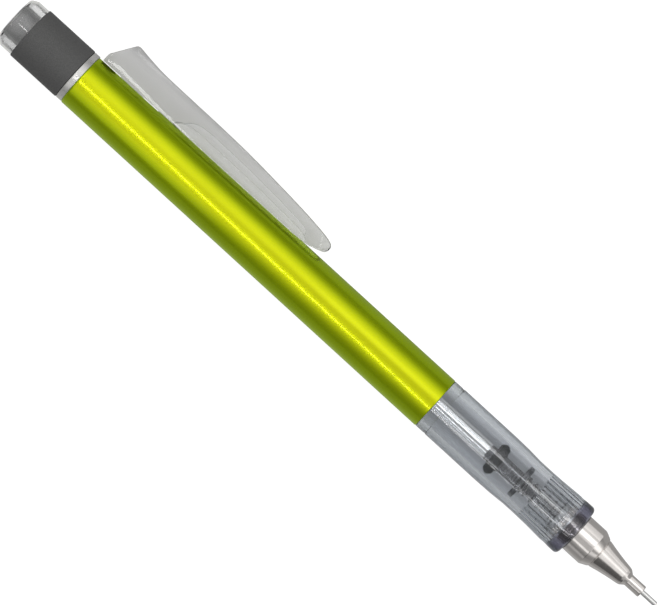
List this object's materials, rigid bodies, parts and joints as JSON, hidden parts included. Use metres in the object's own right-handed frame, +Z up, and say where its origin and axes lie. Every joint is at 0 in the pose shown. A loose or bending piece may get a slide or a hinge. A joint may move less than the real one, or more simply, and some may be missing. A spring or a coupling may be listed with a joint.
{
  "type": "mechanical pencil",
  "caption": "Slim round mechanical pencil with a clear pocket clip that works as the knock, a clear tinted grip, a shaker weight and a twist-out eraser behind a knob.",
  "frame": {"origin": "on the pencil's axis at the open end of the lead sleeve, so the whole body lies at negative X", "axes": "+X along the pencil towards the writing tip, +Y from the axis towards the clip, +Z up for a pencil lying on a desk with its clip to the side"},
  "size_m": [0.1475, 0.0158, 0.01],
  "materials": {
    "lime_metallic": "metallic lime paint under clear coat",
    "smoke_clear": "clear moulding with a light smoke tint",
    "clear_plastic": "clear moulding",
    "nickel_plate": "satin nickel plate on turned brass",
    "steel": "drawn stainless steel",
    "brass": "turned",
    "black_plastic": "moulded",
    "white_plastic": "moulded, satin",
    "grey_knob": "fine spark-eroded grain",
    "grey_plastic": "moulded",
    "black_rubber": "matte",
    "eraser_white": "soft vinyl",
    "graphite": "polymer graphite"
  },
  "bodies": {
    "pencil_body": {"barrel": "lime_metallic", "grip": "smoke_clear", "nose_cone": "nickel_plate", "lead_sleeve": "steel", "lead_retainer": "black_rubber", "chuck_sleeve": "grey_plastic", "tail_ring": "white_plastic", "return_spring": "steel"},
    "knock_unit": {"knock_slider": "white_plastic"},
    "clip_lever": {"clip": "clear_plastic"},
    "feed_unit": {"lead_pipe": "nickel_plate", "connector": "black_plastic", "cushion_ring": "black_rubber", "chuck": "brass", "spare_leads": "graphite"},
    "clutch": {"clutch_ring": "brass"},
    "writing_lead": {"lead": "graphite"},
    "weight": {"shaker_weight": "nickel_plate"},
    "eraser_unit": {"eraser_case": "white_plastic", "case_o_ring": "black_rubber"},
    "knob_unit": {"eraser_knob": "grey_knob", "eraser_collar": "clear_plastic", "eraser_spindle": "grey_plastic"},
    "eraser_core": {"eraser_holder": "white_plastic", "eraser": "eraser_white"}
  },
  "joints": [
    {"name": "clip_knock", "type": "slide", "parent": "pencil_body", "child": "knock_unit", "axis": [1, 0, 0], "range_m": [0, 0.0035]},
    {"name": "shaker_lock", "type": "slide", "parent": "knock_unit", "child": "clip_lever", "axis": [-1, 0, 0], "range_m": [0, 0.0015]},
    {"name": "feed_slide", "type": "slide", "parent": "pencil_body", "child": "feed_unit", "axis": [1, 0, 0], "range_m": [0, 0.0035], "deforming": ["return_spring"]},
    {"name": "clutch_slide", "type": "slide", "parent": "pencil_body", "child": "clutch", "axis": [1, 0, 0], "range_m": [0, 0.0006]},
    {"name": "lead_feed", "type": "slide", "parent": "pencil_body", "child": "writing_lead", "axis": [1, 0, 0], "range_m": [0, 0.0006]},
    {"name": "weight_slide", "type": "slide", "parent": "pencil_body", "child": "weight", "axis": [1, 0, 0], "range_m": [0, 0.0137]},
    {"name": "eraser_unit_pull", "type": "slide", "parent": "pencil_body", "child": "eraser_unit", "axis": [-1, 0, 0], "range_m": [0, 0.0145]},
    {"name": "knob_turn", "type": "hinge", "parent": "eraser_unit", "child": "knob_unit", "pos_m": [-0.139, 0, 0], "axis": [1, 0, 0], "range_deg": [0, 720]},
    {"name": "eraser_feed", "type": "slide", "parent": "eraser_unit", "child": "eraser_core", "axis": [-1, 0, 0], "range_m": [0, 0.012]}
  ],
  "couplings": [
    {"joint": "feed_slide", "follows": "clip_knock", "ratio": 1},
    {"joint": "clutch_slide", "follows": "clip_knock", "ratio": 0.1714},
    {"joint": "lead_feed", "follows": "clip_knock", "ratio": 0.1714},
    {"joint": "knob_turn", "follows": "eraser_feed", "rad_per_m": 1047.2}
  ]
}
